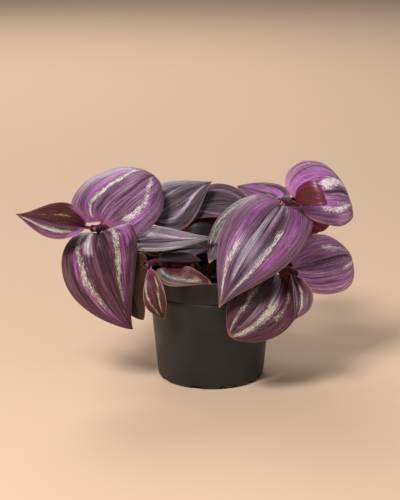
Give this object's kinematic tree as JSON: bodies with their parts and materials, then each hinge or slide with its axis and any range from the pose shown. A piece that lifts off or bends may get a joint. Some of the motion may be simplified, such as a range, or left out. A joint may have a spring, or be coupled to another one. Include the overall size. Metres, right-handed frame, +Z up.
{
  "type": "potted tradescantia",
  "caption": "Potted trailing house plant with arching stems and large pointed oval leaves, purple with silver stripes, in a tapered black nursery pot with a rim band.",
  "frame": {"origin": "centre of the underside of the pot's foot, on the surface it stands on", "axes": "+Z up along the pot's axis, -Y towards the front of the plant as pictured, +X to the right as seen from the front, along the plant's widest spread"},
  "size_m": [0.2329, 0.1664, 0.1558],
  "materials": {
    "pot": "satin near-black moulded plastic",
    "soil": null,
    "stem": "smooth fleshy stem, wine to olive; leather stands in for plant tissue",
    "leaf": "satin leaf with a fine granular sheen, purple with silver stripes; leather stands in for plant tissue"
  },
  "bodies": {
    "root": {"pot": "pot", "soil": "soil", "stem_left": "stem", "stem_right": "stem", "stem_right_low": "stem", "stem_front_left": "stem", "stem_top": "stem", "stem_middle": "stem", "stem_back_left": "stem", "stem_back_right": "stem", "stem_back": "stem", "stem_side_left": "stem", "stem_side_right": "stem", "leaf_left_young": "leaf", "leaf_left_top": "leaf", "leaf_left_front": "leaf", "leaf_mid_top_left": "leaf", "leaf_mid_top_right": "leaf", "leaf_mid_front": "leaf", "leaf_mid_behind": "leaf", "leaf_mid_under": "leaf", "leaf_mid_low": "leaf", "leaf_rim_leaf": "leaf", "leaf_front_hanging": "leaf", "leaf_front_under": "leaf", "leaf_right_front": "leaf", "leaf_right_top": "leaf", "leaf_right_young": "leaf", "leaf_right_mid": "leaf", "leaf_right_small": "leaf", "leaf_right_low": "leaf", "leaf_right_under": "leaf", "leaf_back_top": "leaf", "leaf_right_behind": "leaf", "leaf_back_left_side": "leaf", "leaf_back_left_long": "leaf", "leaf_back_left_down": "leaf", "leaf_back_right_side": "leaf", "leaf_back_right_long": "leaf", "leaf_back_right_down": "leaf", "leaf_back_low_right": "leaf", "leaf_back_low_left": "leaf", "leaf_back_centre": "leaf", "leaf_centre_left": "leaf", "leaf_centre_right": "leaf", "leaf_back_low_down": "leaf", "leaf_side_left_back": "leaf", "leaf_left_shade": "leaf", "leaf_side_left_down": "leaf", "leaf_side_right_back": "leaf", "leaf_side_right_down": "leaf"}
  },
  "joints": []
}
